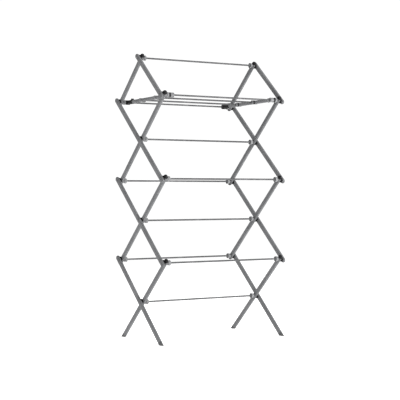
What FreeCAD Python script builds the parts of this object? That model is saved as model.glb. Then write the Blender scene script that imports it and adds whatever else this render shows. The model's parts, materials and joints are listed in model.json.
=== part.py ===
import FreeCAD, Part
import math
import os

import Sketcher
from FreeCAD import Placement, Rotation, Vector

# Folding clothes drying rack: two accordion side frames of crossed flat-oval
# tubes, joined by cross rods on the pivots, with a swing-up rod shelf.
#
# Frame: +X along the rods, +Y towards the back, +Z up. The origin is on the
# floor, under the middle of the rack. Odd levels are the crossings of the
# tubes, at y = 0. Even levels are the joints at the front and the back.

DOCUMENT = FreeCAD.newDocument("drying_rack")
SHEET = DOCUMENT.addObject("Spreadsheet::Sheet", "dims")

# Driving dimensions, in millimetres.
DIMENSIONS = {
    # linkage
    "leg_half": 285.0,          # from a tube's middle pivot to its end pivot
    "joint_depth": 425.0,       # front joints to back joints, rack open
    "foot_height": 182.0,       # first crossing above the floor
    "frame_span": 627.0,        # between the middle planes of the inner tubes
    "frame_gap": 4.5,           # between an inner tube and its outer tube
    # tubes and their plastic ends
    "tube_depth": 22.0,
    "tube_thick": 13.0,
    "tube_corner": 4.5,
    "tube_wall": 0.7,
    "tube_overhang": 12.0,      # bare tube past its end pivot
    "plug_length": 7.5,
    "plug_gap": 0.1,
    "foot_length": 17.0,        # foot along the tube's middle line
    # rods and pivots
    "rod_dia": 8.0,
    "rod_wall": 0.6,
    "pin_grip": 20.0,           # pin inside the rod's end
    "pin_head_dia": 10.0,
    "pin_head_height": 1.8,
    "running_gap": 0.08,
    "open_gap": 0.25,           # around the pins that close the linkage loops
    "face_gap": 0.3,
    "spacer_dia": 29.0,
    # rod cups: a step beside the inner tube, then a cup open to the middle
    "cup_gap": 0.5,
    "cup_step_dia": 18.0,
    "cup_step_length": 5.0,
    "cup_dia": 25.0,
    "cup_length": 17.0,         # with its step
    "cup_rim": 2.0,
    "cup_recess": 5.0,
    "cup_round": 1.2,
    "short_cup_trim": 3.0,      # taken off the length of the top cups
    "hub_dia": 12.5,
    "hub_reach": 2.5,           # past the cup's open end
    # shelf
    "shelf_inset": 38.0,        # inner tube's plane to the side bar's plane
    "shelf_bar_dia": 17.0,
    "shelf_bar_wall": 1.0,
    "bar_seat": 9.0,            # side bar's end to the end rod's axis
    "knuckle_dia": 22.0,
    "knuckle_length": 22.0,
    "knuckle_round": 1.2,
    "sleeve_wall": 1.8,
    "sleeve_length": 26.0,      # from the knuckle's axis
    "clip_gap": 0.5,
    "clip_sleeve_length": 54.0,
    "thumb_dia": 10.0,          # raised end of the clip's sleeve
    "thumb_width": 12.0,
    "thumb_setback": 7.0,       # from the sleeve's end to the thumb's middle
    "ferrule_wall": 1.0,        # round the side bar
    "ferrule_length": 11.0,     # on a shelf rod, beside the side bar
    "ferrule_cap": 3.0,         # past the side bar's outer side
}


class Size:
    """A length: its value, and the formula that gives it from the sheet."""

    def __init__(self, value, formula):
        self.value = value
        self.formula = formula

    def join(self, sign, other, value):
        return Size(value, f"({self.formula} {sign} {size(other).formula})")

    def __add__(self, other):
        return self.join("+", other, self.value + size(other).value)

    def __sub__(self, other):
        return self.join("-", other, self.value - size(other).value)

    def __mul__(self, other):
        return self.join("*", other, self.value * size(other).value)

    def __truediv__(self, other):
        return self.join("/", other, self.value / size(other).value)

    def __neg__(self):
        return self * -1.0

    def root(self):
        return Size(math.sqrt(self.value), f"sqrt({self.formula})")


def size(value):
    """A Size stays as it is, and a plain number becomes one."""
    if isinstance(value, Size):
        return value
    return Size(float(value), f"({float(value)!r})")


def fill_sheet():
    """Write the driving dimensions into the sheet and return them as Sizes."""
    for row, (alias, value) in enumerate(DIMENSIONS.items(), start=1):
        SHEET.set(f"A{row}", alias)
        SHEET.set(f"B{row}", str(value))
        SHEET.setAlias(f"B{row}", alias)
    DOCUMENT.recompute()
    return {alias: Size(value, f"dims.{alias}") for alias, value in DIMENSIONS.items()}


D = fill_sheet()
ZERO = size(0.0)

# Sizes that follow from the driving ones.
RISE = (D["leg_half"] * D["leg_half"] - D["joint_depth"] * D["joint_depth"] / 4.0).root()
LEAN_COS = RISE / D["leg_half"]
LEAN_SIN = D["joint_depth"] / 2.0 / D["leg_half"]
LEAN_DEGREES = math.degrees(math.asin(LEAN_SIN.value))
INNER_X = D["frame_span"] / 2.0
OUTER_X = INNER_X + D["tube_thick"] + D["frame_gap"]
INNER_FACE = INNER_X - D["tube_thick"] / 2.0
OUTER_FACE = OUTER_X + D["tube_thick"] / 2.0
ROD_R = D["rod_dia"] / 2.0
PIN_R = ROD_R - D["rod_wall"]
RUNNING_R = PIN_R + D["running_gap"]
OPEN_R = PIN_R + D["open_gap"]
SHELF_X = INNER_X - D["shelf_inset"]
SHELF_ROD_Y = D["joint_depth"] / 6.0
END_PIVOT = D["leg_half"]
TUBE_END = D["leg_half"] + D["tube_overhang"]
FOOT_START = D["foot_height"] / LEAN_COS - D["foot_length"]

# The shelf swings up by this many degrees for each degree that a tube turns.
# Its clips let the back rod go downwards and a little to the front, which is
# where the rod heads as the back joints come in under the rising shelf.
SHELF_SWING = 1.9
CLIP_SLOPE = LEAN_COS / (LEAN_SIN * SHELF_SWING)
CLIP_COS = size(1.0) / (CLIP_SLOPE * CLIP_SLOPE + 1.0).root()
CLIP_SIN = CLIP_SLOPE * CLIP_COS


def bind(thing, **sizes):
    """Bind properties to the sheet's cells. A double underscore is a dot."""
    for name, value in sizes.items():
        thing.setExpression(name.replace("__", "."), value.formula)


def move(thing, x=ZERO, y=ZERO, z=ZERO, turn=None):
    """Turn a piece and bind its place to the sheet's cells."""
    thing.Placement = Placement(Vector(x.value, y.value, z.value), turn or Rotation())
    bind(thing, Placement__Base__x=x, Placement__Base__y=y, Placement__Base__z=z)
    return thing


# ---------------------------------------------------------------- sketches

def new_body(name):
    body = DOCUMENT.addObject("PartDesign::Body", name)
    body.AllowCompound = True
    return body


def new_sketch(body, plane, offset=ZERO):
    """A sketch on one of the body's own origin planes."""
    sketch = body.newObject("Sketcher::SketchObject", f"{body.Name}_sketch")
    face = next(f for f in body.Origin.OriginFeatures if f.Role == plane)
    sketch.AttachmentSupport = [(face, "")]
    sketch.MapMode = "FlatFace"
    sketch.AttachmentOffset = Placement(Vector(0, 0, offset.value), Rotation())
    bind(sketch, AttachmentOffset__Base__z=offset)
    return sketch


def pin_point(sketch, edge, end, x, y):
    """Hold one end of an edge at (x, y)."""
    for kind, value in (("DistanceX", x), ("DistanceY", y)):
        mark = sketch.addConstraint(Sketcher.Constraint(kind, -1, 1, edge, end, value.value))
        sketch.setExpression(f"Constraints[{mark}]", value.formula)


def pin_height(sketch, edge, end, y):
    mark = sketch.addConstraint(Sketcher.Constraint("DistanceY", -1, 1, edge, end, y.value))
    sketch.setExpression(f"Constraints[{mark}]", y.formula)


def hold_radius(sketch, edge, radius):
    mark = sketch.addConstraint(Sketcher.Constraint("Radius", edge, radius.value))
    sketch.setExpression(f"Constraints[{mark}]", radius.formula)


def draw_polygon(sketch, points):
    """A closed polygon with every corner held by two sizes."""
    corners = [Vector(x.value, y.value, 0) for x, y in points]
    count = len(corners)
    first = sketch.GeometryCount
    for at in range(count):
        sketch.addGeometry(Part.LineSegment(corners[at], corners[(at + 1) % count]))
    for at in range(count):
        following = first + (at + 1) % count
        sketch.addConstraint(Sketcher.Constraint("Coincident", first + at, 2, following, 1))
        pin_point(sketch, first + at, 1, *points[at])


def draw_circle(sketch, x, y, radius):
    edge = sketch.addGeometry(Part.Circle(Vector(x.value, y.value, 0), Vector(0, 0, 1),
                                          radius.value))
    pin_point(sketch, edge, 3, x, y)
    hold_radius(sketch, edge, radius)


def draw_oval(sketch, width, depth, corner):
    """A rectangle about the origin with round corners, each corner held."""
    half_x = width / 2.0
    half_y = depth / 2.0
    for quarter, (side_x, side_y) in enumerate(((1, 1), (-1, 1), (-1, -1), (1, -1))):
        x = (half_x - corner) * side_x
        y = (half_y - corner) * side_y
        circle = Part.Circle(Vector(x.value, y.value, 0), Vector(0, 0, 1), corner.value)
        start = quarter * math.pi / 2
        arc = sketch.addGeometry(Part.ArcOfCircle(circle, start, start + math.pi / 2))
        pin_point(sketch, arc, 3, x, y)
        hold_radius(sketch, arc, corner)
    last = arc
    for quarter in range(4):
        arc = last - 3 + quarter
        following = last - 3 + (quarter + 1) % 4
        line = sketch.addGeometry(Part.LineSegment(
            sketch.getPoint(arc, 2), sketch.getPoint(following, 1)))
        sketch.addConstraint(Sketcher.Constraint("Tangent", arc, 2, line, 1))
        sketch.addConstraint(Sketcher.Constraint("Tangent", line, 2, following, 1))


# ---------------------------------------------------------------- features

def pad(body, sketch, length, both_ways=False, back=False):
    feature = body.newObject("PartDesign::Pad", f"{body.Name}_pad")
    feature.Profile = sketch
    feature.Length = length.value
    feature.SideType = "Symmetric" if both_ways else "One side"
    feature.Reversed = back
    bind(feature, Length=length)
    return feature


def cut_through(body, sketch):
    """Cut the sketch both ways through the whole body."""
    feature = body.newObject("PartDesign::Pocket", f"{body.Name}_cut")
    feature.Profile = sketch
    feature.SideType = "Symmetric"
    feature.Type = "ThroughAll"
    return feature


def pocket(body, sketch, depth, back=False):
    feature = body.newObject("PartDesign::Pocket", f"{body.Name}_pocket")
    feature.Profile = sketch
    feature.Length = depth.value
    feature.Reversed = back
    bind(feature, Length=depth)
    return feature


def revolve(body, sketch):
    """Turn the sketch once about its own X axis."""
    feature = body.newObject("PartDesign::Revolution", f"{body.Name}_turned")
    feature.Profile = sketch
    feature.ReferenceAxis = (sketch, ["H_Axis"])
    feature.Angle = 360.0
    return feature


def round_edges(body, base, radius, chosen):
    """Fillet the edges of a feature that the test picks."""
    DOCUMENT.recompute()
    names = [f"Edge{at}" for at, edge in enumerate(base.Shape.Edges, start=1) if chosen(edge)]
    feature = body.newObject("PartDesign::Fillet", f"{body.Name}_round")
    feature.Base = (base, names)
    feature.Radius = radius.value
    bind(feature, Radius=radius)
    return feature


def circle_near(*radii):
    """A test for full circles of one of these radii."""
    wanted = [radius.value for radius in radii]

    def chosen(edge):
        curve = edge.Curve
        return isinstance(curve, Part.Circle) and any(
            abs(curve.Radius - value) < 1e-4 for value in wanted)

    return chosen


def cylinder(name, radius, length, direction, x=ZERO, y=ZERO, z=ZERO):
    """A Part cylinder from (x, y, z) along a direction."""
    solid = DOCUMENT.addObject("Part::Cylinder", name)
    bind(solid, Radius=radius, Height=length)
    return move(solid, x, y, z, Rotation(Vector(0, 0, 1), direction))


def cut(name, base, tool):
    solid = DOCUMENT.addObject("Part::Cut", name)
    solid.Base = base
    solid.Tool = tool
    return solid


# ------------------------------------------------------------------- nodes

NODES = []


def node(label, solid, place=None):
    """Register a finished sub-part under the name of its file."""
    solid.Label = label
    if place is not None:
        solid.Placement = place
    NODES.append(solid)
    return solid


def node_pair(label, pieces, place=None):
    """Pieces of the right side frame and their mirror images, as one node."""
    right = DOCUMENT.addObject("Part::Compound", f"{label}_right")
    right.Links = pieces
    left = DOCUMENT.addObject("Part::Mirroring", f"{label}_left")
    left.Source = right
    left.Normal = Vector(1, 0, 0)
    both = DOCUMENT.addObject("Part::Compound", label)
    both.Links = [right, left]
    return node(label, both, place)


def level_height(level):
    return D["foot_height"] + RISE * (level - 1)


def frame_place(level, lean):
    """Where a tube stands: on its middle pivot, its top leaning to +Y or -Y."""
    turn = Rotation(Vector(1, 0, 0), -lean * LEAN_DEGREES)
    return Placement(Vector(0, 0, level_height(level).value), turn)


# --------------------------------------------------------------- side frames

def tube(label, x, low, high, holes, place):
    """A hollow flat-oval tube with pivot holes across it."""
    body = new_body(label)
    section = new_sketch(body, "XY_Plane", low)
    draw_oval(section, D["tube_thick"], D["tube_depth"], D["tube_corner"])
    wall = D["tube_wall"]
    draw_oval(section, D["tube_thick"] - wall * 2.0, D["tube_depth"] - wall * 2.0,
              D["tube_corner"] - wall)
    pad(body, section, high - low)
    across = new_sketch(body, "YZ_Plane")
    for height, radius in holes:
        draw_circle(across, ZERO, height, radius)
    body.Tip = cut_through(body, across)
    shift = Placement(Vector(x.value, 0, 0), Rotation())
    return node(label, body, place * shift)


def plug(body, height, back):
    """The part of a plastic end that stands inside the tube."""
    section = new_sketch(body, "XY_Plane", height)
    less = (D["tube_wall"] + D["plug_gap"]) * 2.0
    draw_oval(section, D["tube_thick"] - less, D["tube_depth"] - less,
              D["tube_corner"] - less / 2.0)
    return pad(body, section, D["plug_length"], back=back)


def end_cap(name, x, seam, upright):
    """A round-nosed plastic cap on a tube's end, with its plug."""
    body = new_body(name)
    outline = new_sketch(body, "YZ_Plane")
    half = D["tube_depth"] / 2.0
    circle = Part.Circle(Vector(0, seam.value, 0), Vector(0, 0, 1), half.value)
    outline.addGeometry(Part.ArcOfCircle(circle, 0, math.pi))
    outline.addGeometry(Part.LineSegment(outline.getPoint(0, 2), outline.getPoint(0, 1)))
    outline.addConstraint(Sketcher.Constraint("Coincident", 0, 2, 1, 1))
    outline.addConstraint(Sketcher.Constraint("Coincident", 1, 2, 0, 1))
    pin_point(outline, 0, 3, ZERO, seam)
    pin_point(outline, 0, 1, half, seam)
    pin_height(outline, 0, 2, seam)
    nose = pad(body, outline, D["tube_thick"], both_ways=True)
    nose = round_edges(body, nose, D["tube_corner"],
                       lambda edge: edge.BoundBox.XLength < 0.01
                       and edge.BoundBox.ZMax > seam.value + 1.0)
    body.Tip = plug(body, seam, back=True)
    turn = Rotation() if upright else Rotation(Vector(1, 0, 0), 180)
    return move(body, x, turn=turn)


def foot(name, x, lean):
    """A plastic foot: flat on the floor while the rack stands open."""
    body = new_body(name)
    outline = new_sketch(body, "YZ_Plane")
    half = D["tube_depth"] / 2.0

    def floor_at(y):
        return (y * LEAN_SIN * lean - D["foot_height"]) / LEAN_COS

    draw_polygon(outline, [(-half, -FOOT_START), (-half, floor_at(-half)),
                           (half, floor_at(half)), (half, -FOOT_START)])
    block = pad(body, outline, D["tube_thick"], both_ways=True)
    block = round_edges(body, block, D["tube_corner"],
                        lambda edge: edge.BoundBox.XLength < 0.01 and edge.BoundBox.YLength < 0.01)
    body.Tip = plug(body, -FOOT_START, back=False)
    return move(body, x)


def cup(name, height, trim):
    """A plastic cup on the rod, open towards the rack's middle."""
    body = new_body(name)
    section = new_sketch(body, "XZ_Plane")
    rim = D["cup_dia"] / 2.0
    step = D["cup_step_dia"] / 2.0
    hub = D["hub_dia"] / 2.0
    seat = INNER_FACE - D["cup_gap"]
    shoulder = seat - D["cup_step_length"]
    mouth = seat - (D["cup_length"] - trim)
    floor = mouth + D["cup_recess"]
    nose = mouth - D["hub_reach"]
    draw_polygon(section, [(seat, ROD_R), (seat, step), (shoulder, step), (shoulder, rim),
                           (mouth, rim),
                           (mouth, rim - D["cup_rim"]), (floor, rim - D["cup_rim"]),
                           (floor, hub), (nose, hub), (nose, ROD_R)])
    turned = revolve(body, section)
    body.Tip = round_edges(body, turned, D["cup_round"],
                           lambda edge: circle_near(rim)(edge) or (
                               circle_near(hub)(edge) and edge.BoundBox.XMax < nose.value + 0.01))
    return move(body, z=height)


def pivot_pin(name, height):
    """A round-headed pin from inside the rod to outside the outer tube."""
    body = new_body(name)
    section = new_sketch(body, "XZ_Plane")
    head = D["pin_head_dia"] / 2.0
    start = INNER_FACE - D["pin_grip"]
    seat = OUTER_FACE + D["face_gap"]
    top = seat + D["pin_head_height"]
    draw_polygon(section, [(start, ZERO), (start, PIN_R), (seat, PIN_R), (seat, head),
                           (top, head), (top, ZERO)])
    turned = revolve(body, section)
    body.Tip = round_edges(body, turned, D["pin_head_height"] * 0.8,
                           lambda edge: circle_near(head)(edge)
                           and edge.BoundBox.XMin > top.value - 0.01)
    return move(body, z=height)


def spacer(name, height, bore):
    """A dark plastic washer on the outer tube, just clear of the inner one."""
    start = INNER_X + D["tube_thick"] / 2.0 + D["face_gap"]
    length = D["frame_gap"] - D["face_gap"]
    along = Vector(1, 0, 0)
    disc = cylinder(f"{name}_disc", D["spacer_dia"] / 2.0, length, along, start, z=height)
    hole = cylinder(f"{name}_hole", bore, length, along, start, z=height)
    return cut(name, disc, hole)


def rod(label, reach, height, place):
    """A hollow cross rod from -reach to +reach."""
    body = new_body(label)
    section = new_sketch(body, "YZ_Plane", -reach)
    draw_circle(section, ZERO, height, ROD_R)
    draw_circle(section, ZERO, height, PIN_R)
    body.Tip = pad(body, section, reach * 2.0)
    node(label, body, place)


def frame_pair(name, piece, x, lean, level, holes, low, high, foot_end):
    """One mirrored pair of parallel tubes with their plastic ends."""
    place = frame_place(level, lean)
    for side, sign in (("left", -1.0), ("right", 1.0)):
        tube(f"{name}_{piece}_{side}", x * sign, low, high, holes, place)
    caps = [end_cap(f"{name}_top_cap", x, high, True)]
    if foot_end:
        node_pair(f"{name}_feet", [foot(f"{name}_foot", x, lean)], place)
    else:
        caps.append(end_cap(f"{name}_low_cap", x, -low, False))
    node_pair(f"{name}_end_caps", caps, place)
    return place


def outer_frame(name, piece, level, holes, low, high, foot_end=False):
    """Outer tubes, with a spacer round the pin of every pivot."""
    place = frame_pair(name, piece, OUTER_X, 1, level, holes, low, high, foot_end)
    washers = [spacer(f"{name}_spacer_{at}", height, radius)
               for at, (height, radius) in enumerate(holes)]
    node_pair(f"{name}_spacers", washers, place)


def inner_frame(name, piece, level, holes, rods, low, high, foot_end=False):
    """Inner tubes, with the rods that turn with them.

    rods maps a rod's name to its height on the tubes and to what its cups
    lose of their length.
    """
    place = frame_pair(name, piece, INNER_X, -1, level, holes, low, high, foot_end)
    cups = []
    pins = []
    for label, (height, trim) in rods.items():
        cups.append(cup(f"{label}_cup", height, trim))
        pins.append(pivot_pin(f"{label}_pin", height))
        rod(label, INNER_FACE, height, place)
    node_pair(f"{name}_rod_cups", cups, place)
    node_pair(f"{name}_pivot_pins", pins, place)


# --------------------------------------------------------------------- shelf

def shelf_place(x=ZERO, y=ZERO):
    return Placement(Vector(x.value, y.value, level_height(6).value), Rotation())


def side_bar(label, side):
    """A round shelf tube from the hinge eye to the back clip.

    Its inner wall has holes for the shelf rods. side is 1.0 on the right.
    """
    body = new_body(label)
    half = D["joint_depth"] / 2.0 - D["bar_seat"]
    section = new_sketch(body, "XZ_Plane", -half)
    outer = D["shelf_bar_dia"] / 2.0
    draw_circle(section, ZERO, ZERO, outer)
    draw_circle(section, ZERO, ZERO, outer - D["shelf_bar_wall"])
    pad(body, section, half * 2.0)
    across = new_sketch(body, "YZ_Plane")
    draw_circle(across, SHELF_ROD_Y, ZERO, ROD_R)
    draw_circle(across, -SHELF_ROD_Y, ZERO, ROD_R)
    body.Tip = pocket(body, across, D["shelf_bar_dia"], back=side < 0)
    node(label, body, shelf_place(SHELF_X * side))


def barrel(body):
    """The round block that every end knuckle starts as."""
    outline = new_sketch(body, "YZ_Plane")
    radius = D["knuckle_dia"] / 2.0
    draw_circle(outline, ZERO, ZERO, radius)
    block = pad(body, outline, D["knuckle_length"], both_ways=True)
    return round_edges(body, block, D["knuckle_round"], circle_near(radius))


def sleeve(body, length, to_front):
    """The sleeve that takes the side bar's end, towards the shelf's middle."""
    outline = new_sketch(body, "XZ_Plane")
    draw_circle(outline, ZERO, ZERO, D["shelf_bar_dia"] / 2.0 + D["sleeve_wall"])
    pad(body, outline, length, back=not to_front)
    seat = D["bar_seat"] if to_front else -D["bar_seat"]
    section = new_sketch(body, "XZ_Plane", seat)
    draw_circle(section, ZERO, ZERO, D["shelf_bar_dia"] / 2.0)
    pocket(body, section, length, back=to_front)


def hinge_eye():
    """The front knuckle, which turns on the front rod of level 6."""
    body = new_body("hinge_eye")
    barrel(body)
    sleeve(body, D["sleeve_length"], to_front=False)
    bore = new_sketch(body, "YZ_Plane")
    draw_circle(bore, ZERO, ZERO, ROD_R + D["running_gap"])
    body.Tip = cut_through(body, bore)
    return move(body, SHELF_X, -D["joint_depth"] / 2.0)


def back_clip():
    """The back knuckle, whose slot drops over the back rod of level 6."""
    body = new_body("back_clip")
    barrel(body)
    thumb = new_sketch(body, "YZ_Plane")
    draw_circle(thumb, D["thumb_setback"] - D["clip_sleeve_length"],
                D["shelf_bar_dia"] / 2.0 + D["sleeve_wall"], D["thumb_dia"] / 2.0)
    pad(body, thumb, D["thumb_width"], both_ways=True)
    sleeve(body, D["clip_sleeve_length"], to_front=True)
    bore = new_sketch(body, "YZ_Plane")
    half = ROD_R + D["clip_gap"]
    draw_circle(bore, ZERO, ZERO, half)
    cut_through(body, bore)
    slot = new_sketch(body, "YZ_Plane")
    reach = D["knuckle_dia"]
    side_y = half * CLIP_COS
    side_z = half * CLIP_SIN
    far_y = reach * CLIP_SIN
    far_z = reach * CLIP_COS
    draw_polygon(slot, [(side_y, -side_z), (side_y - far_y, -side_z - far_z),
                        (-side_y - far_y, side_z - far_z), (-side_y, side_z)])
    body.Tip = cut_through(body, slot)
    return move(body, SHELF_X, D["joint_depth"] / 2.0)


def ferrule(name, y):
    """A ferrule on a shelf rod's end, closed past the side bar that it grips."""
    body = new_body(name)
    bar = D["shelf_bar_dia"] / 2.0
    radius = bar + D["ferrule_wall"]
    outline = new_sketch(body, "YZ_Plane", bar + D["ferrule_cap"])
    draw_circle(outline, ZERO, ZERO, radius)
    block = pad(body, outline, bar * 2.0 + D["ferrule_cap"] + D["ferrule_length"], back=True)
    round_edges(body, block, D["cup_round"], circle_near(radius))
    along = new_sketch(body, "XZ_Plane")
    draw_circle(along, ZERO, ZERO, bar)
    cut_through(body, along)
    bore = new_sketch(body, "YZ_Plane")
    draw_circle(bore, ZERO, ZERO, ROD_R)
    body.Tip = pocket(body, bore, bar + D["ferrule_length"])
    return move(body, SHELF_X, y)


def shelf():
    """The shelf's own pieces, level with the rods it lies between."""
    place = shelf_place()
    side_bar("shelf_bar_left", -1.0)
    side_bar("shelf_bar_right", 1.0)
    rod("shelf_rod_back", SHELF_X, ZERO, shelf_place(y=SHELF_ROD_Y))
    rod("shelf_rod_front", SHELF_X, ZERO, shelf_place(y=-SHELF_ROD_Y))
    node_pair("shelf_hinge_eyes", [hinge_eye()], place)
    node_pair("shelf_back_clips", [back_clip()], place)
    ferrules = [ferrule("back_ferrule", SHELF_ROD_Y), ferrule("front_ferrule", -SHELF_ROD_Y)]
    node_pair("shelf_rod_ferrules", ferrules, place)


# ---------------------------------------------------------------- assembly

def build():
    trim = D["short_cup_trim"]
    loose = (-END_PIVOT, OPEN_R)
    middle = (ZERO, RUNNING_R)
    top = (END_PIVOT, RUNNING_R)
    own_low = (-END_PIVOT, PIN_R)
    own_middle = (ZERO, PIN_R)
    own_top = (END_PIVOT, PIN_R)

    outer_frame("lower_outer", "leg", 1, [middle, top], -FOOT_START, TUBE_END, True)
    inner_frame("lower_inner", "leg", 1, [own_middle, own_top],
                {"rod_level1": (ZERO, ZERO), "rod_level2_front": (END_PIVOT, ZERO)},
                -FOOT_START, TUBE_END, True)
    outer_frame("middle_outer", "leg", 3, [loose, middle, top], -TUBE_END, TUBE_END)
    inner_frame("middle_inner", "leg", 3, [own_low, own_middle, own_top],
                {"rod_level2_back": (-END_PIVOT, ZERO), "rod_level3": (ZERO, ZERO),
                 "rod_level4_front": (END_PIVOT, ZERO)}, -TUBE_END, TUBE_END)
    outer_frame("upper_outer", "leg", 5, [loose, middle, top], -TUBE_END, TUBE_END)
    inner_frame("upper_inner", "leg", 5, [own_low, own_middle, own_top],
                {"rod_level4_back": (-END_PIVOT, ZERO), "rod_level5": (ZERO, ZERO),
                 "rod_level6_front": (END_PIVOT, trim)}, -TUBE_END, TUBE_END)
    outer_frame("top_outer", "arm", 7, [loose, middle], -TUBE_END, D["tube_overhang"])
    inner_frame("top_inner", "arm", 7, [own_low, own_middle],
                {"rod_level6_back": (-END_PIVOT, trim), "rod_level7": (ZERO, trim)},
                -TUBE_END, D["tube_overhang"])
    shelf()


def check():
    """Stop if anything in the document or any sub-part is broken."""
    for thing in DOCUMENT.Objects:
        if "Invalid" in thing.State or "Error" in thing.State:
            raise RuntimeError(f"{thing.Name} failed: {thing.State}")
    for solid in NODES:
        if solid.Shape.isNull() or not solid.Shape.isValid():
            raise RuntimeError(f"{solid.Label} has no valid shape")


def export():
    os.makedirs("parts", exist_ok=True)
    for solid in NODES:
        solid.Shape.exportStep(f"parts/{solid.Label}.step")


build()
DOCUMENT.recompute()
check()
export()
print(f"{len(NODES)} sub-parts, rise {RISE.value:.2f} mm, lean {LEAN_DEGREES:.3f} degrees")
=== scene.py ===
"""Looks of the folding clothes drying rack: paint, plastics, small fittings, light and camera.

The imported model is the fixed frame. Everything is in metres, +X along the
rods, +Y towards the back, +Z up, with the origin on the floor.
"""

import json
import math

import bmesh
import bpy
import numpy as np
from mathutils import Matrix, Vector


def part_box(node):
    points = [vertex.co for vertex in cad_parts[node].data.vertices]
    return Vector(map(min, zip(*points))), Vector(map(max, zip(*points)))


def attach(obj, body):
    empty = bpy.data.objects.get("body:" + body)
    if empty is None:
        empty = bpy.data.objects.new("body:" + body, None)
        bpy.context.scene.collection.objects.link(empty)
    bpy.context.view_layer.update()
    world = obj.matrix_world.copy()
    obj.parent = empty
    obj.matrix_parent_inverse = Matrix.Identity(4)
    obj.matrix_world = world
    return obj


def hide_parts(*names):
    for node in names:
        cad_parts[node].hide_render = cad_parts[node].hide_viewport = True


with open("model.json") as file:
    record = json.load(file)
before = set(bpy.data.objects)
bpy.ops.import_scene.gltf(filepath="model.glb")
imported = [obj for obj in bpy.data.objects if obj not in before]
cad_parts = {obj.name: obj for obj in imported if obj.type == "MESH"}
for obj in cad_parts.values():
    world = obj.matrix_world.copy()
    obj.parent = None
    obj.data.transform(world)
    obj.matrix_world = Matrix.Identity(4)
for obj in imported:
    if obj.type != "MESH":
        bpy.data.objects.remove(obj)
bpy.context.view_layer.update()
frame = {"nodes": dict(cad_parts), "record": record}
NODES = frame["nodes"]


# ------------------------------------------------------------ what the frame says

def middle(node):
    """The middle of a node's box."""
    low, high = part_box(node)
    return (Vector(low) + Vector(high)) / 2


FIRST_ROD = middle("rod_level1")
SECOND_BACK = middle("rod_level2_back")
RISE = SECOND_BACK.z - FIRST_ROD.z
HALF_DEPTH = SECOND_BACK.y
LEG_HALF = math.hypot(RISE, HALF_DEPTH)
LEAN_SIN = HALF_DEPTH / LEG_HALF
LEAN_COS = RISE / LEG_HALF
INNER_X = middle("lower_inner_leg_right").x
OUTER_X = middle("lower_outer_leg_right").x
HALF_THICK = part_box("lower_inner_leg_right")[1][0] - INNER_X
INNER_FACE = INNER_X - HALF_THICK
OUTER_FACE = OUTER_X + HALF_THICK
SHELF_X = middle("shelf_bar_right").x
SHELF_Z = SECOND_BACK.z + 4.0 * RISE

# Sizes of the rack's sections and fittings, in metres.
HALF_WIDE = 0.011           # half an oval tube, front to back
OVAL_CORNER = 0.0045
OVERHANG = 0.012            # bare tube past its end pivot
TUBE_END = LEG_HALF + OVERHANG
FOOT_LONG = 0.017           # from the sole's middle to the tube's end
FOOT_TOP = FIRST_ROD.z / LEAN_COS - FOOT_LONG
TREAD_SWELL = 0.0007
TREAD_HIGH = 0.0018
TREAD_RISES = (0.0035, 0.0070, 0.0105)      # above the sole
LIP_SWELL = 0.0005
LIP_HIGH = 0.0016
ROD_R = 0.004
FACE_GAP = 0.0003           # between a moving fitting and the tube beside it

PIN_SEAT = OUTER_FACE + FACE_GAP
PIN_HEAD_R = 0.005
PIN_HEAD_HIGH = 0.0018
DIMPLE_R = 0.0012
DIMPLE_FLOOR = 0.0009
SHANK_R = 0.0034
SHANK_LONG = 0.0508
WASHER_R = 0.0070
WASHER_THICK = 0.00024
WASHER_ROUND = 0.0001
WASHER_GAP = 0.00002
SPACER_R = 0.0145
SPACER_ROUND = 0.0015
SPACER_SKIN = 0.00005       # how far the disc's faces stay inside its node's

CUP_SEAT = INNER_FACE - 0.0005
CUP_R = 0.0125
CUP_LONG = 0.017
SHORT_CUP_LONG = 0.014
CUP_RECESS = 0.0050
CUP_TAPER = 0.0012          # how much thinner the wall's foot is than its mouth
CUP_EDGE = 0.0006
LIP_R = 0.0010
STEP_R = 0.009
STEP_LONG = 0.005
HUB_R = 0.00625
HUB_REACH = 0.0025
HUB_ROUND = 0.0010
FLUTES = 12
FLUTE_DEEP = 0.0005

KNUCKLE_R = 0.011
KNUCKLE_HALF = 0.011
BARREL_LIP_HALF = 0.0011
BARREL_LIP_INSET = 0.0030
BUSH_HALF = 0.0007
SLEEVE_R = 0.0103
HINGE_SLEEVE_END = -HALF_DEPTH + 0.0255
THUMB_R = 0.005
THUMB_HALF = 0.006
THUMB_FROM_ROD = 0.047
CLIP_SLEEVE_END = HALF_DEPTH - THUMB_FROM_ROD - 0.0065
RIDGE_R = 0.0006
RIDGE_PLACES = (-50.0, -25.0, 0.0, 25.0, 50.0)      # degrees round the thumb
# Black bands of painted shade, as distances out from the rack's middle plane: the inward half
# of each ferrule and the outer end of each hinge eye.
FERRULE_PAINTED_SHADE_FROM = SHELF_X - 0.0145
FERRULE_PAINTED_SHADE_TO = SHELF_X - 0.003
EYE_PAINTED_SHADE_FROM = SHELF_X + KNUCKLE_HALF * 0.55

SHARP_EDGE = math.radians(38.0)
MERGE_WITHIN = 1e-6

# The pivots on each inner frame: level of its middle, then each rod's place along
# its tubes and whether its cups are the short ones.
INNER_FRAMES = {
    "lower_inner": (1, ((0.0, False), (LEG_HALF, False))),
    "middle_inner": (3, ((-LEG_HALF, False), (0.0, False), (LEG_HALF, False))),
    "upper_inner": (5, ((-LEG_HALF, False), (0.0, False), (LEG_HALF, True))),
    "top_inner": (7, ((-LEG_HALF, True), (0.0, True))),
}
OUTER_FRAMES = {
    "lower_outer": (1, (0.0, LEG_HALF)),
    "middle_outer": (3, (-LEG_HALF, 0.0, LEG_HALF)),
    "upper_outer": (5, (-LEG_HALF, 0.0, LEG_HALF)),
    "top_outer": (7, (-LEG_HALF, 0.0)),
}


# ------------------------------------------------------------------ shader maths

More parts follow.
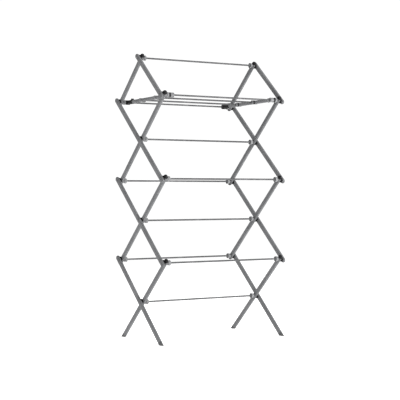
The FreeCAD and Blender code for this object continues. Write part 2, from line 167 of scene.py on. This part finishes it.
class Wire:
    """A node's output. Arithmetic on it adds Math nodes."""

    def __init__(self, finish, socket):
        self.finish = finish
        self.socket = socket

    def math(self, operation, *values):
        return self.finish.node("ShaderNodeMath", {"operation": operation}, *values)

    def __add__(self, other):
        return self.math("ADD", self, other)

    def __sub__(self, other):
        return self.math("SUBTRACT", self, other)

    def __rsub__(self, other):
        return self.math("SUBTRACT", other, self)

    def __mul__(self, other):
        return self.math("MULTIPLY", self, other)

    def __truediv__(self, other):
        return self.math("DIVIDE", self, other)

    def __pow__(self, other):
        return self.math("POWER", self, other)

    __radd__ = __add__
    __rmul__ = __mul__

    def ramp(self, low, high):
        """0 below low and 1 above high, with a soft step between them."""
        return self.finish.node("ShaderNodeMapRange", {"interpolation_type": "SMOOTHSTEP"},
                                self, low, high, 0.0, 1.0)


class Finish:
    """A node material, built round one Principled shader."""

    def __init__(self, name, **constants):
        self.material = bpy.data.materials.new(name)
        self.material.use_nodes = True
        self.tree = self.material.node_tree
        self.shader = self.tree.nodes["Principled BSDF"]
        for socket, value in constants.items():
            self.put(self.shader.inputs[socket.replace("_", " ")], value)
        self.place = self.node("ShaderNodeTexCoord", {}, out="Object")

    def put(self, socket, value):
        if isinstance(value, Wire):
            self.tree.links.new(value.socket, socket)
        elif isinstance(value, tuple) and socket.type == "RGBA":
            socket.default_value = (*value, 1.0)
        else:
            socket.default_value = value

    def node(self, kind, settings, *inputs, out=0, **named):
        """Add a node: its settings first, then its sockets by place or by name."""
        made = self.tree.nodes.new(kind)
        for setting, value in settings.items():
            setattr(made, setting, value)
        for at, value in enumerate(inputs):
            self.put(made.inputs[at], value)
        for name, value in named.items():
            self.put(made.inputs[name.replace("_", " ")], value)
        return Wire(self, made.outputs[out])

    def axes(self):
        parts = self.tree.nodes.new("ShaderNodeSeparateXYZ")
        self.put(parts.inputs[0], self.place)
        return [Wire(self, parts.outputs[at]) for at in range(3)]

    def noise(self, scale, detail=2.0, rough=0.5, place=None):
        return self.node("ShaderNodeTexNoise", {"noise_dimensions": "3D"}, out="Fac",
                         Vector=place or self.place, Scale=scale, Detail=detail,
                         Roughness=rough)

    def stretched(self, factors):
        """Object coordinates scaled per axis, for a pattern drawn out along one."""
        return self.node("ShaderNodeVectorMath", {"operation": "MULTIPLY"}, self.place, factors)

    def blend(self, factor, first, second):
        """A colour from first to second."""
        made = self.tree.nodes.new("ShaderNodeMix")
        made.data_type = "RGBA"
        self.put(made.inputs["Factor"], factor)
        self.put(made.inputs[6], first)
        self.put(made.inputs[7], second)
        return Wire(self, made.outputs[2])

    def colour(self, value):
        self.put(self.shader.inputs["Base Color"], value)

    def roughness(self, value):
        self.put(self.shader.inputs["Roughness"], value)

    def metallic(self, value):
        self.put(self.shader.inputs["Metallic"], value)

    def relief(self, height, depth):
        """A bump of this many metres."""
        bump = self.node("ShaderNodeBump", {}, out="Normal", Height=height, Distance=depth)
        self.put(self.shader.inputs["Normal"], bump)

    def pivot_distance(self):
        """Distance in the side view to the nearest pivot of the linkage.

        The pivots repeat every two rises: odd levels lie at y = 0, and even
        levels lie half the rack's depth in front and behind.
        """
        _, y, z = self.axes()
        period = 2.0 * RISE
        steps = (z - FIRST_ROD.z) / period
        odd = (steps - steps.math("ROUND", steps)) * period
        even_steps = steps - 0.5
        even = (even_steps - even_steps.math("ROUND", even_steps)) * period
        side = y.math("ABSOLUTE", y) - HALF_DEPTH
        at_odd = (y * y + odd * odd) ** 0.5
        at_even = (side * side + even * even) ** 0.5
        return at_odd.math("MINIMUM", at_odd, at_even)


# ------------------------------------------------------------------- materials

PAINT_DARK = (0.122, 0.124, 0.128)
PAINT_LIGHT = (0.150, 0.152, 0.157)
ROD_DARK = (0.070, 0.071, 0.073)
ROD_LIGHT = (0.095, 0.096, 0.098)
FLAKE = (0.19, 0.193, 0.20)
BARE_METAL = (0.26, 0.26, 0.27)
GRIME = (0.030, 0.029, 0.028)
CUP_DARK = (0.150, 0.152, 0.156)
CUP_LIGHT = (0.200, 0.202, 0.207)
KNUCKLE_DARK = (0.140, 0.142, 0.146)
KNUCKLE_LIGHT = (0.180, 0.182, 0.187)
CAP_DARK = (0.092, 0.094, 0.097)
CAP_LIGHT = (0.120, 0.122, 0.126)
EDGE_BLUR = 0.0006          # where a moulding's black band of painted shade meets its grey
BLACK_DARK = (0.006, 0.006, 0.0065)
BLACK_LIGHT = (0.014, 0.014, 0.015)
FOOT_DARK = (0.070, 0.071, 0.074)
FOOT_LIGHT = (0.095, 0.096, 0.099)
FLOOR_DUST = (0.22, 0.215, 0.20)
TURNED_RINGS = 9000.0       # radians of tool mark per metre from the pivot


def tube_paint():
    """Graphite powder coat: soft orange peel, fine flake, rubbed rings at the pivots."""
    f = Finish("graphite_powder_coat", Specular_IOR_Level=0.15)
    cloud = f.noise(11.0, 3.0)
    flake = f.noise(2300.0, 1.0)
    worn = f.noise(60.0, 4.0, 0.7, f.stretched((1.0, 5.0, 1.0))).ramp(0.68, 0.76)
    near = f.pivot_distance()
    ring = near.ramp(0.0105, 0.0085) * near.ramp(0.004, 0.007)
    grime = near.ramp(0.030, 0.014) * f.noise(180.0, 3.0).ramp(0.35, 0.7)
    shade = f.blend(cloud.ramp(0.3, 0.7), PAINT_DARK, PAINT_LIGHT)
    shade = f.blend(flake.ramp(0.58, 0.72) * 0.3, shade, FLAKE)
    shade = f.blend(worn * 0.25, shade, BARE_METAL)
    shade = f.blend(ring * 0.25, shade, BARE_METAL)
    shade = f.blend(grime * 0.4, shade, GRIME)
    f.colour(shade)
    f.metallic(0.05 + worn * 0.2 + ring * 0.15)
    f.roughness(0.46 + cloud * 0.12 - worn * 0.12 + grime * 0.15)
    f.relief(f.noise(520.0, 2.0) * 0.8 + flake * 0.2 - worn * 0.5, 0.00005)
    return f.material


def rod_paint():
    """The same coat on thin rods, polished along their length by hanging cloth."""
    f = Finish("rod_powder_coat", Specular_IOR_Level=0.1)
    cloud = f.noise(14.0, 3.0)
    drawn = f.noise(1.0, 3.0, 0.6, f.stretched((18.0, 1500.0, 1500.0)))
    rubbed = f.noise(7.0, 4.0, 0.6).ramp(0.5, 0.68)
    shade = f.blend(cloud.ramp(0.3, 0.7), ROD_DARK, ROD_LIGHT)
    shade = f.blend(drawn.ramp(0.55, 0.75) * 0.25, shade, FLAKE)
    shade = f.blend(rubbed * 0.15, shade, BARE_METAL)
    f.colour(shade)
    f.metallic(0.08 + rubbed * 0.15)
    f.roughness(0.45 - rubbed * 0.12 + drawn * 0.08)
    f.relief(drawn * 0.6 + f.noise(700.0) * 0.4, 0.00004)
    return f.material


def moulded(name, dark, light, grain, rough, gloss=0.3, painted_shade_from=None, painted_shade_to=None):
    """Moulded plastic: eroded grain, flow clouds, scuffs, and dirt close to the pivot.

    The last two arguments, when given, mark distances out from the rack's middle plane between
    which it is painted black as shade.
    """
    f = Finish(name, Specular_IOR_Level=gloss)
    cloud = f.noise(38.0, 3.0)
    speck = f.noise(grain, 2.0, 0.6)
    scuff = f.noise(150.0, 4.0, 0.75, f.stretched((1.0, 1.0, 3.0))).ramp(0.66, 0.76)
    dirt = f.pivot_distance().ramp(0.0075, 0.0045)
    shade = f.blend(cloud.ramp(0.3, 0.7), dark, light)
    shade = f.blend(speck.ramp(0.45, 0.75) * 0.3, shade, tuple(c * 1.5 for c in light))
    shade = f.blend(scuff * 0.25, shade, tuple(c * 2.2 for c in light))
    shade = f.blend(dirt * 0.35, shade, dark)
    # Painted shade: a black band between the two distances, standing in for a side the light
    # does not reach.
    if painted_shade_from:
        across = f.axes()[0]
        out = across.math("ABSOLUTE", across)
        black = f.blend(speck.ramp(0.45, 0.75), BLACK_DARK, BLACK_LIGHT)
        shade = f.blend(out.ramp(painted_shade_from, painted_shade_from + EDGE_BLUR)
                        * out.ramp(painted_shade_to + EDGE_BLUR, painted_shade_to), shade, black)
    f.colour(shade)
    f.roughness(rough + speck * 0.12 - scuff * 0.1)
    f.relief(speck * 0.5 + cloud * 0.2, 0.0001)
    return f.material


def foot_rubber():
    """Darker foot plastic with floor dust near its sole."""
    f = Finish("foot_plastic", Specular_IOR_Level=0.3)
    _, _, z = f.axes()
    speck = f.noise(900.0, 2.0, 0.6)
    dust = z.ramp(0.014, 0.0) * f.noise(130.0, 4.0, 0.7).ramp(0.35, 0.65)
    shade = f.blend(f.noise(45.0, 3.0).ramp(0.3, 0.7), FOOT_DARK, FOOT_LIGHT)
    shade = f.blend(speck.ramp(0.5, 0.75) * 0.25, shade, CUP_LIGHT)
    shade = f.blend(dust * 0.4, shade, FLOOR_DUST)
    f.colour(shade)
    f.roughness(0.6 + speck * 0.15 + dust * 0.1)
    f.relief(speck * 0.5, 0.0002)
    return f.material


def rivet_metal():
    """Riveted steel under the coat: turned rings and a few bare spots."""
    f = Finish("rivet_metal", Specular_IOR_Level=0.5)
    near = f.pivot_distance()
    turned = near * TURNED_RINGS
    turned = turned.math("SINE", turned)
    bare = f.noise(420.0, 3.0, 0.7).ramp(0.52, 0.66)
    rim = near.ramp(0.0036, 0.0046)
    shade = f.blend(f.noise(90.0, 2.0).ramp(0.3, 0.7), PAINT_LIGHT, FLAKE)
    shade = f.blend(bare * 0.5, shade, BARE_METAL)
    shade = f.blend(rim * 0.4, shade, GRIME)
    f.colour(shade)
    f.metallic(0.4 + bare * 0.5)
    f.roughness(0.42 - bare * 0.12 + turned * 0.03)
    f.relief(turned * 0.3 + f.noise(800.0) * 0.5, 0.00008)
    return f.material


FINISHES = {
    "tube_paint": tube_paint(),
    "rod_paint": rod_paint(),
    "cup_plastic": moulded("cup_plastic", CUP_DARK, CUP_LIGHT, 1100.0, 0.42),
    "clip_plastic": moulded("clip_plastic", BLACK_DARK, BLACK_LIGHT, 1200.0, 0.5, 0.12),
    # The hinge eyes carry a black band of painted shade at their outer ends.
    "knuckle_plastic": moulded("knuckle_plastic", KNUCKLE_DARK, KNUCKLE_LIGHT, 1000.0, 0.42,
                               painted_shade_from=EYE_PAINTED_SHADE_FROM, painted_shade_to=INNER_FACE),
    # The ferrules carry a black band of painted shade on their inward halves.
    "ferrule_plastic": moulded("ferrule_plastic", KNUCKLE_DARK, KNUCKLE_LIGHT, 1000.0, 0.42,
                               painted_shade_from=FERRULE_PAINTED_SHADE_FROM, painted_shade_to=FERRULE_PAINTED_SHADE_TO),
    "cap_plastic": moulded("cap_plastic", CAP_DARK, CAP_LIGHT, 1300.0, 0.48),
    "spacer_plastic": moulded("spacer_plastic", BLACK_DARK, BLACK_LIGHT, 1400.0, 0.6, 0.08),
    "foot_plastic": foot_rubber(),
    "pin_steel": rivet_metal(),
}


# Nodes whose finish is not the one of their slot.
OWN_FINISH = {"shelf_rod_ferrules": "ferrule_plastic"}


def finish_nodes():
    """Give every node of the frame its own finish, or the one of its material slot."""
    for part in frame["record"]["subparts"]:
        finish = OWN_FINISH.get(part["node"], part["material_slot"])
        for holder in NODES[part["node"]].material_slots:
            holder.material = FINISHES[finish]


# --------------------------------------------------------------- surfaces by numpy

def turns(count):
    """Angles of this many equal steps round a circle."""
    return np.arange(count) * (2.0 * np.pi / count)


def oval(angle, half_thick, half_wide, corner):
    """A rounded rectangle: the corner's middle plus a corner radius along the angle."""
    x = np.sign(np.cos(angle)) * (half_thick - corner) + corner * np.cos(angle)
    y = np.sign(np.sin(angle)) * (half_wide - corner) + corner * np.sin(angle)
    return x, y


def stand(points, level, lean):
    """Turn points by the frame's lean about its middle pivot, then lift them to its level.

    lean is 1 where the tubes' tops lie to the back and -1 where they lie to the front.
    """
    x, y, z = points[..., 0], points[..., 1], points[..., 2]
    back = y * LEAN_COS + z * LEAN_SIN * lean
    up = z * LEAN_COS - y * LEAN_SIN * lean + FIRST_ROD.z + RISE * (level - 1)
    return np.stack([x, back, up], axis=-1)


def both_sides(patches):
    """The patches and their mirror images in the plane x = 0."""
    return patches + [patch * np.array([-1.0, 1.0, 1.0]) for patch in patches]


def turned_ring(profile, along_x, y=0.0, z=0.0, count=48):
    """Carry a closed profile of (x, radius) round the X axis through (y, z)."""
    angle = turns(count)[:, None]
    x = along_x + profile[:, 0] + 0.0 * angle
    return np.stack([x, y + profile[:, 1] * np.cos(angle), z + profile[:, 1] * np.sin(angle)],
                    axis=-1)


def piece(name, body, slot, patches):
    """One smooth mesh from grids that close on themselves in both directions.

    Each grid cell gives one face, whose corners are found by rolling the grid of
    vertex numbers one step along each direction. A grid whose faces point inwards,
    which its signed volume shows, is turned over. Points that meet are merged.
    """
    vertices = []
    faces = []
    start = 0
    for patch in patches:
        number = start + np.arange(patch.shape[0] * patch.shape[1]).reshape(patch.shape[:2])
        across = np.roll(number, -1, axis=1)
        quads = np.stack([number, np.roll(number, -1, axis=0),
                          np.roll(across, -1, axis=0), across], axis=-1).reshape(-1, 4)
        points = patch.reshape(-1, 3)
        corner = points[quads - start]
        volume = (np.cross(corner[:, 0], corner[:, 1]) * corner[:, 2]).sum()
        volume += (np.cross(corner[:, 0], corner[:, 2]) * corner[:, 3]).sum()
        faces.append(quads if volume > 0.0 else quads[:, ::-1])
        vertices.append(points)
        start += len(points)
    mesh = bpy.data.meshes.new(name)
    mesh.from_pydata(np.concatenate(vertices).tolist(), [], np.concatenate(faces).tolist())
    merge = bmesh.new()
    merge.from_mesh(mesh)
    bmesh.ops.remove_doubles(merge, verts=merge.verts, dist=MERGE_WITHIN)
    bmesh.ops.dissolve_degenerate(merge, edges=merge.edges, dist=MERGE_WITHIN)
    merge.to_mesh(mesh)
    merge.free()
    mesh.shade_smooth()
    mesh.set_sharp_from_angle(angle=SHARP_EDGE)
    mesh.materials.append(FINISHES[slot])
    made = bpy.data.objects.new(name, mesh)
    bpy.context.scene.collection.objects.link(made)
    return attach(made, body)


# -------------------------------------------------------------- fittings on the frames

def cup_skin(height, level, length):
    """The grey cup: a step at the tube, a swelling wall, a rolled lip and a hub inside.

    The wall's radius grows towards the mouth as a quarter sine, the lip is a half
    circle, and shallow flutes press the wall in as the cosine of the angle round it.
    """
    s = np.linspace(0.0, 1.0, 9)
    wall_x = -STEP_LONG - CUP_EDGE - s * (length - STEP_LONG - 3.0 * CUP_EDGE)
    wall_r = CUP_R - CUP_TAPER * (1.0 - np.sin(s * np.pi / 2))
    turn = np.linspace(0.0, np.pi, 9)
    lip_x = -length + LIP_R - LIP_R * np.sin(turn)
    lip_r = CUP_R - LIP_R + LIP_R * np.cos(turn)
    hub_turn = np.linspace(0.0, np.pi / 2, 6)
    hub_x = -length - HUB_REACH + HUB_ROUND - HUB_ROUND * np.sin(hub_turn)
    hub_r = HUB_R - HUB_ROUND + HUB_ROUND * np.cos(hub_turn)
    floor_x = -length + CUP_RECESS
    before = np.array([(0.0, ROD_R), (0.0, STEP_R - CUP_EDGE), (-CUP_EDGE, STEP_R),
                       (-STEP_LONG, STEP_R), (-STEP_LONG, wall_r[0] - CUP_EDGE)])
    x = np.concatenate([before[:, 0], wall_x, lip_x, [floor_x, floor_x], hub_x,
                        [-length - HUB_REACH]])
    r = np.concatenate([before[:, 1], wall_r, lip_r, [CUP_R - 2.0 * LIP_R, HUB_R], hub_r,
                        [ROD_R]])
    after = len(x) - len(before) - len(s)
    on_wall = np.concatenate([np.zeros(len(before)), np.sin(s * np.pi), np.zeros(after)])
    angle = turns(72)[:, None]
    radius = r - FLUTE_DEEP * on_wall * (0.5 + 0.5 * np.cos(FLUTES * angle))
    ring = np.stack([CUP_SEAT + x + 0.0 * angle, radius * np.cos(angle),
                     radius * np.sin(angle)], axis=-1)
    return stand(ring + np.array([0.0, 0.0, height]), level, -1)


def spacer_skin(height, level):
    """The black disc between an outer and an inner tube, thinner near its rim.

    Its section is flat near the bore and narrows to a half-round rim on a sine.
    """
    s = np.linspace(0.0, np.pi, 13)
    centre = (INNER_X + FACE_GAP + OUTER_X) / 2.0
    half = (OUTER_X - INNER_X - 2.0 * HALF_THICK - FACE_GAP) / 2.0 - SPACER_SKIN
    x = np.concatenate([[half, half], 0.7 * half * np.cos(s), [-half, -half]])
    rim = SPACER_R - SPACER_ROUND * (1.0 - np.sin(s))
    r = np.concatenate([[SHANK_R, SPACER_R * 0.6], rim, [SPACER_R * 0.6, SHANK_R]])
    ring = turned_ring(np.stack([x, r], axis=-1), centre, count=72)
    return stand(ring + np.array([0.0, 0.0, height]), level, 1)


def rivet_skin(height, level):
    """A rivet: a shank in the tubes, a rolled head and a dimple in its middle.

    The head's edge is a quarter ellipse, and its face falls to the dimple as a cosine.
    """
    edge = np.linspace(0.0, np.pi / 2, 7)
    rim_r = PIN_HEAD_R * (0.72 + 0.28 * np.cos(edge))
    rim_x = PIN_HEAD_HIGH * (0.3 + 0.7 * np.sin(edge))
    fall = np.linspace(0.0, 1.0, 8)[1:]
    face_r = PIN_HEAD_R * (0.72 - 0.42 * fall)
    face_x = PIN_HEAD_HIGH * (0.7 + 0.3 * np.cos(fall * np.pi))
    x = np.concatenate([[-SHANK_LONG, -SHANK_LONG, 0.0, 0.0], rim_x, face_x,
                        [DIMPLE_FLOOR, DIMPLE_FLOOR]])
    r = np.concatenate([[0.0, SHANK_R, SHANK_R, PIN_HEAD_R], rim_r, face_r, [DIMPLE_R, 0.0]])
    ring = turned_ring(np.stack([x, r], axis=-1), PIN_SEAT, count=40)
    return stand(ring + np.array([0.0, 0.0, height]), level, -1)


def washer_skin(height, level):
    """A thin steel washer under the rivet's head, with a rounded outer edge."""
    edge_r = WASHER_R - WASHER_ROUND
    profile = np.array([(0.0, SHANK_R), (0.0, edge_r), (WASHER_THICK / 2.0, WASHER_R),
                        (WASHER_THICK, edge_r), (WASHER_THICK, SHANK_R)])
    ring = turned_ring(profile, OUTER_FACE + WASHER_GAP)
    return stand(ring + np.array([0.0, 0.0, height]), level, 1)


def oval_bead(tube_x, height, swell, high, slope=0.0):
    """A bead round an oval tube: a half-round section carried along the tube's outline.

    slope tilts it, so that it rises this much for each metre from front to back.
    """
    angle = turns(96)[:, None]
    section = turns(12)
    out = swell * np.cos(section)
    x, y = oval(angle, HALF_THICK + out, HALF_WIDE + out, OVAL_CORNER + out)
    z = height + high / 2.0 * np.sin(section) + slope * y
    return np.stack([tube_x + x, y, z + 0.0 * x], axis=-1)


def tube_ends(level, tube_x, lean, seams):
    """The lip of each plastic end, where it meets its tube."""
    beads = [oval_bead(tube_x, seam, LIP_SWELL, LIP_HIGH) for seam in seams]
    return [stand(bead, level, lean) for bead in beads]


def foot_treads(tube_x, lean):
    """Ribs round a foot, level with the floor while the rack stands open."""
    slope = LEAN_SIN * lean / LEAN_COS
    sole = -FIRST_ROD.z / LEAN_COS
    beads = [oval_bead(tube_x, sole + rise, TREAD_SWELL, TREAD_HIGH, slope)
             for rise in TREAD_RISES]
    return [stand(bead, 1, lean) for bead in beads]


def dress_inner_frames():
    """Cups and rivets for the rods, and lips on the tubes' plastic ends."""
    for name, (level, rods) in INNER_FRAMES.items():
        cups = []
        rivets = []
        for height, short in rods:
            cups.append(cup_skin(height, level, SHORT_CUP_LONG if short else CUP_LONG))
            rivets.append(rivet_skin(height, level))
        made = piece(f"{name}_cup_skins", name, "cup_plastic", both_sides(cups))
        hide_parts(f"{name}_rod_cups")
        made = piece(f"{name}_rivets", name, "pin_steel", both_sides(rivets))
        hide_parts(f"{name}_pivot_pins")
        dress_ends(name, level, INNER_X, -1, "clip_plastic")


def dress_outer_frames():
    """Discs, washers under the rivets' heads, and lips on the tubes' plastic ends."""
    for name, (level, pivots) in OUTER_FRAMES.items():
        discs = [spacer_skin(height, level) for height in pivots]
        made = piece(f"{name}_spacer_skins", name, "spacer_plastic", both_sides(discs))
        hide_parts(f"{name}_spacers")
        washers = [washer_skin(height, level) for height in pivots]
        piece(f"{name}_washers", name, "pin_steel", both_sides(washers))
        dress_ends(name, level, OUTER_X, 1, "cap_plastic")


def dress_ends(name, level, tube_x, lean, slot):
    """Lips on the end caps, which are black on the inner tubes, and treads on the feet."""
    top = TUBE_END if level < 7 else OVERHANG
    seams = [top] if level == 1 else [-TUBE_END, top]
    piece(f"{name}_cap_lips", name, slot,
          both_sides(tube_ends(level, tube_x, lean, seams)))
    if level == 1:
        lips = tube_ends(level, tube_x, lean, [-FOOT_TOP])
        piece(f"{name}_foot_treads", name, "foot_plastic",
              both_sides(lips + foot_treads(tube_x, lean)))


# ------------------------------------------------------------------ fittings on the shelf

def hinge_lips():
    """Raised rings at both ends of a hinge eye: an arch of a sine on the barrel."""
    turn = np.linspace(0.0, np.pi, 7)
    root_r = KNUCKLE_R - 0.0012
    crown_r = KNUCKLE_R - 0.0004
    arch = np.stack([-BARREL_LIP_HALF * np.cos(turn), crown_r + 0.0008 * np.sin(turn)], axis=-1)
    base = np.array([(BARREL_LIP_HALF, root_r), (-BARREL_LIP_HALF, root_r)])
    profile = np.concatenate([arch, base])
    inset = KNUCKLE_HALF - BARREL_LIP_INSET
    return [turned_ring(profile, SHELF_X + side * inset, -HALF_DEPTH, SHELF_Z, 64)
            for side in (-1.0, 1.0)]


def hinge_bush():
    """The black bush between a hinge eye and the rod's cup, with rounded edges."""
    turn = np.linspace(0.0, np.pi, 9)
    outer = np.stack([BUSH_HALF - BUSH_HALF * np.cos(turn),
                      KNUCKLE_R - 0.0012 + 0.0006 * np.sin(turn)], axis=-1)
    bore = np.array([(2.0 * BUSH_HALF, ROD_R), (0.0, ROD_R)])
    return turned_ring(np.concatenate([outer, bore]), SHELF_X + KNUCKLE_HALF, -HALF_DEPTH,
                       SHELF_Z, 64)


def sleeve_lip(y):
    """A rounded ring round the mouth of a sleeve, where the side bar goes in."""
    section = turns(16)
    angle = turns(64)[:, None]
    radius = SLEEVE_R - 0.0003 + 0.0008 * np.cos(section)
    along = y + 0.0011 * np.sin(section)
    return np.stack([SHELF_X + radius * np.cos(angle), along + 0.0 * angle,
                     SHELF_Z + radius * np.sin(angle)], axis=-1)


def thumb_ridges():
    """Grip ridges across the clip's thumb: their ends round off on a sixth-power curve."""
    ridges = []
    along = np.linspace(-1.0, 1.0, 15)
    girth = RIDGE_R * np.sqrt(np.clip(1.0 - along ** 6, 0.0, 1.0))
    section = turns(10)[:, None]
    for place in np.radians(RIDGE_PLACES):
        y = HALF_DEPTH - THUMB_FROM_ROD + THUMB_R * math.sin(place)
        z = SHELF_Z + SLEEVE_R + THUMB_R * math.cos(place)
        ridges.append(np.stack([SHELF_X + along * (THUMB_HALF - RIDGE_R) + 0.0 * section,
                                y + girth * np.cos(section), z + girth * np.sin(section)],
                               axis=-1))
    return ridges


def dress_shelf():
    """Lips and bushes on the hinge eyes, and grip ridges on the clips' thumbs."""
    piece("shelf_hinge_lips", "shelf", "knuckle_plastic",
          both_sides(hinge_lips() + [sleeve_lip(HINGE_SLEEVE_END)]))
    piece("shelf_hinge_bushes", "shelf", "clip_plastic", both_sides([hinge_bush()]))
    piece("shelf_clip_grips", "shelf", "clip_plastic",
          both_sides(thumb_ridges() + [sleeve_lip(CLIP_SLEEVE_END)]))


# ------------------------------------------------------------- camera and light

CAMERA_PLACE = Vector((-2.791, -4.622, 0.632))
CAMERA_HEADING = 0.5433     # radians from +Y towards +X
CAMERA_PITCH = 0.0045
CAMERA_ROLL = -0.0075
LENS = 100.93               # millimetres, on a 36 mm sensor
ROOM_LIGHT = 0.49           # what the white room gives the object
BACKDROP = 1.05             # how bright the room looks behind it


def add_camera():
    """A level camera at the front left, a little under half the rack's height."""
    level = math.cos(CAMERA_PITCH)
    ahead = Vector((math.sin(CAMERA_HEADING) * level, math.cos(CAMERA_HEADING) * level,
                    math.sin(CAMERA_PITCH)))
    flat_right = Vector((math.cos(CAMERA_HEADING), -math.sin(CAMERA_HEADING), 0.0))
    flat_up = flat_right.cross(ahead)
    right = flat_right * math.cos(CAMERA_ROLL) + flat_up * math.sin(CAMERA_ROLL)
    up = flat_up * math.cos(CAMERA_ROLL) - flat_right * math.sin(CAMERA_ROLL)
    data = bpy.data.cameras.new("camera")
    data.lens = LENS
    data.sensor_width = 36.0
    camera = bpy.data.objects.new("camera", data)
    turn = Matrix((right, up, -ahead)).transposed().to_4x4()
    camera.matrix_world = Matrix.Translation(CAMERA_PLACE) @ turn
    bpy.context.scene.collection.objects.link(camera)
    bpy.context.scene.camera = camera


def add_lamp(name, place, size, power, aim):
    """A square soft box that points at a place."""
    data = bpy.data.lights.new(name, "AREA")
    data.shape = "SQUARE"
    data.size = size
    data.energy = power
    lamp = bpy.data.objects.new(name, data)
    lamp.rotation_mode = "QUATERNION"
    lamp.location = place
    lamp.rotation_quaternion = (Vector(aim) - Vector(place)).to_track_quat("-Z", "Y")
    bpy.context.scene.collection.objects.link(lamp)


def add_studio():
    """A white room: a broad key from the front right, a weak fill on the left, a top lamp."""
    heart = (0.0, 0.0, 0.7)
    add_lamp("key", (2.4, -4.4, 1.0), 1.6, 240.0, heart)
    add_lamp("fill", (-2.2, 0.3, 1.1), 1.2, 14.0, heart)
    add_lamp("top", (0.4, -0.6, 3.8), 2.0, 50.0, heart)
    world = bpy.data.worlds.new("studio")
    world.use_nodes = True
    bpy.context.scene.world = world
    tree = world.node_tree
    back = tree.nodes["Background"]
    back.inputs["Color"].default_value = (1.0, 1.0, 1.0, 1.0)
    seen = tree.nodes.new("ShaderNodeLightPath").outputs["Is Camera Ray"]
    level = tree.nodes.new("ShaderNodeMapRange")
    level.inputs["To Min"].default_value = ROOM_LIGHT
    level.inputs["To Max"].default_value = BACKDROP
    tree.links.new(seen, level.inputs["Value"])
    tree.links.new(level.outputs["Result"], back.inputs["Strength"])
    bpy.context.scene.view_settings.view_transform = "Standard"


def add_floor():
    """A plain white floor."""
    half = 6.0
    mesh = bpy.data.meshes.new("floor")
    mesh.from_pydata([(-half, -half, 0), (half, -half, 0), (half, half, 0), (-half, half, 0)],
                     [], [(0, 1, 2, 3)])
    floor = bpy.data.objects.new("floor", mesh)
    bpy.context.scene.collection.objects.link(floor)
    white = Finish("floor_white", Roughness=0.9, Emission_Color=(1.0, 1.0, 1.0),
                   Emission_Strength=0.8)
    tone = white.noise(3.0)
    white.colour(white.blend(tone, (0.93, 0.93, 0.93), (0.95, 0.95, 0.95)))
    mesh.materials.append(white.material)


finish_nodes()
dress_inner_frames()
dress_outer_frames()
dress_shelf()
add_camera()
add_studio()
add_floor()
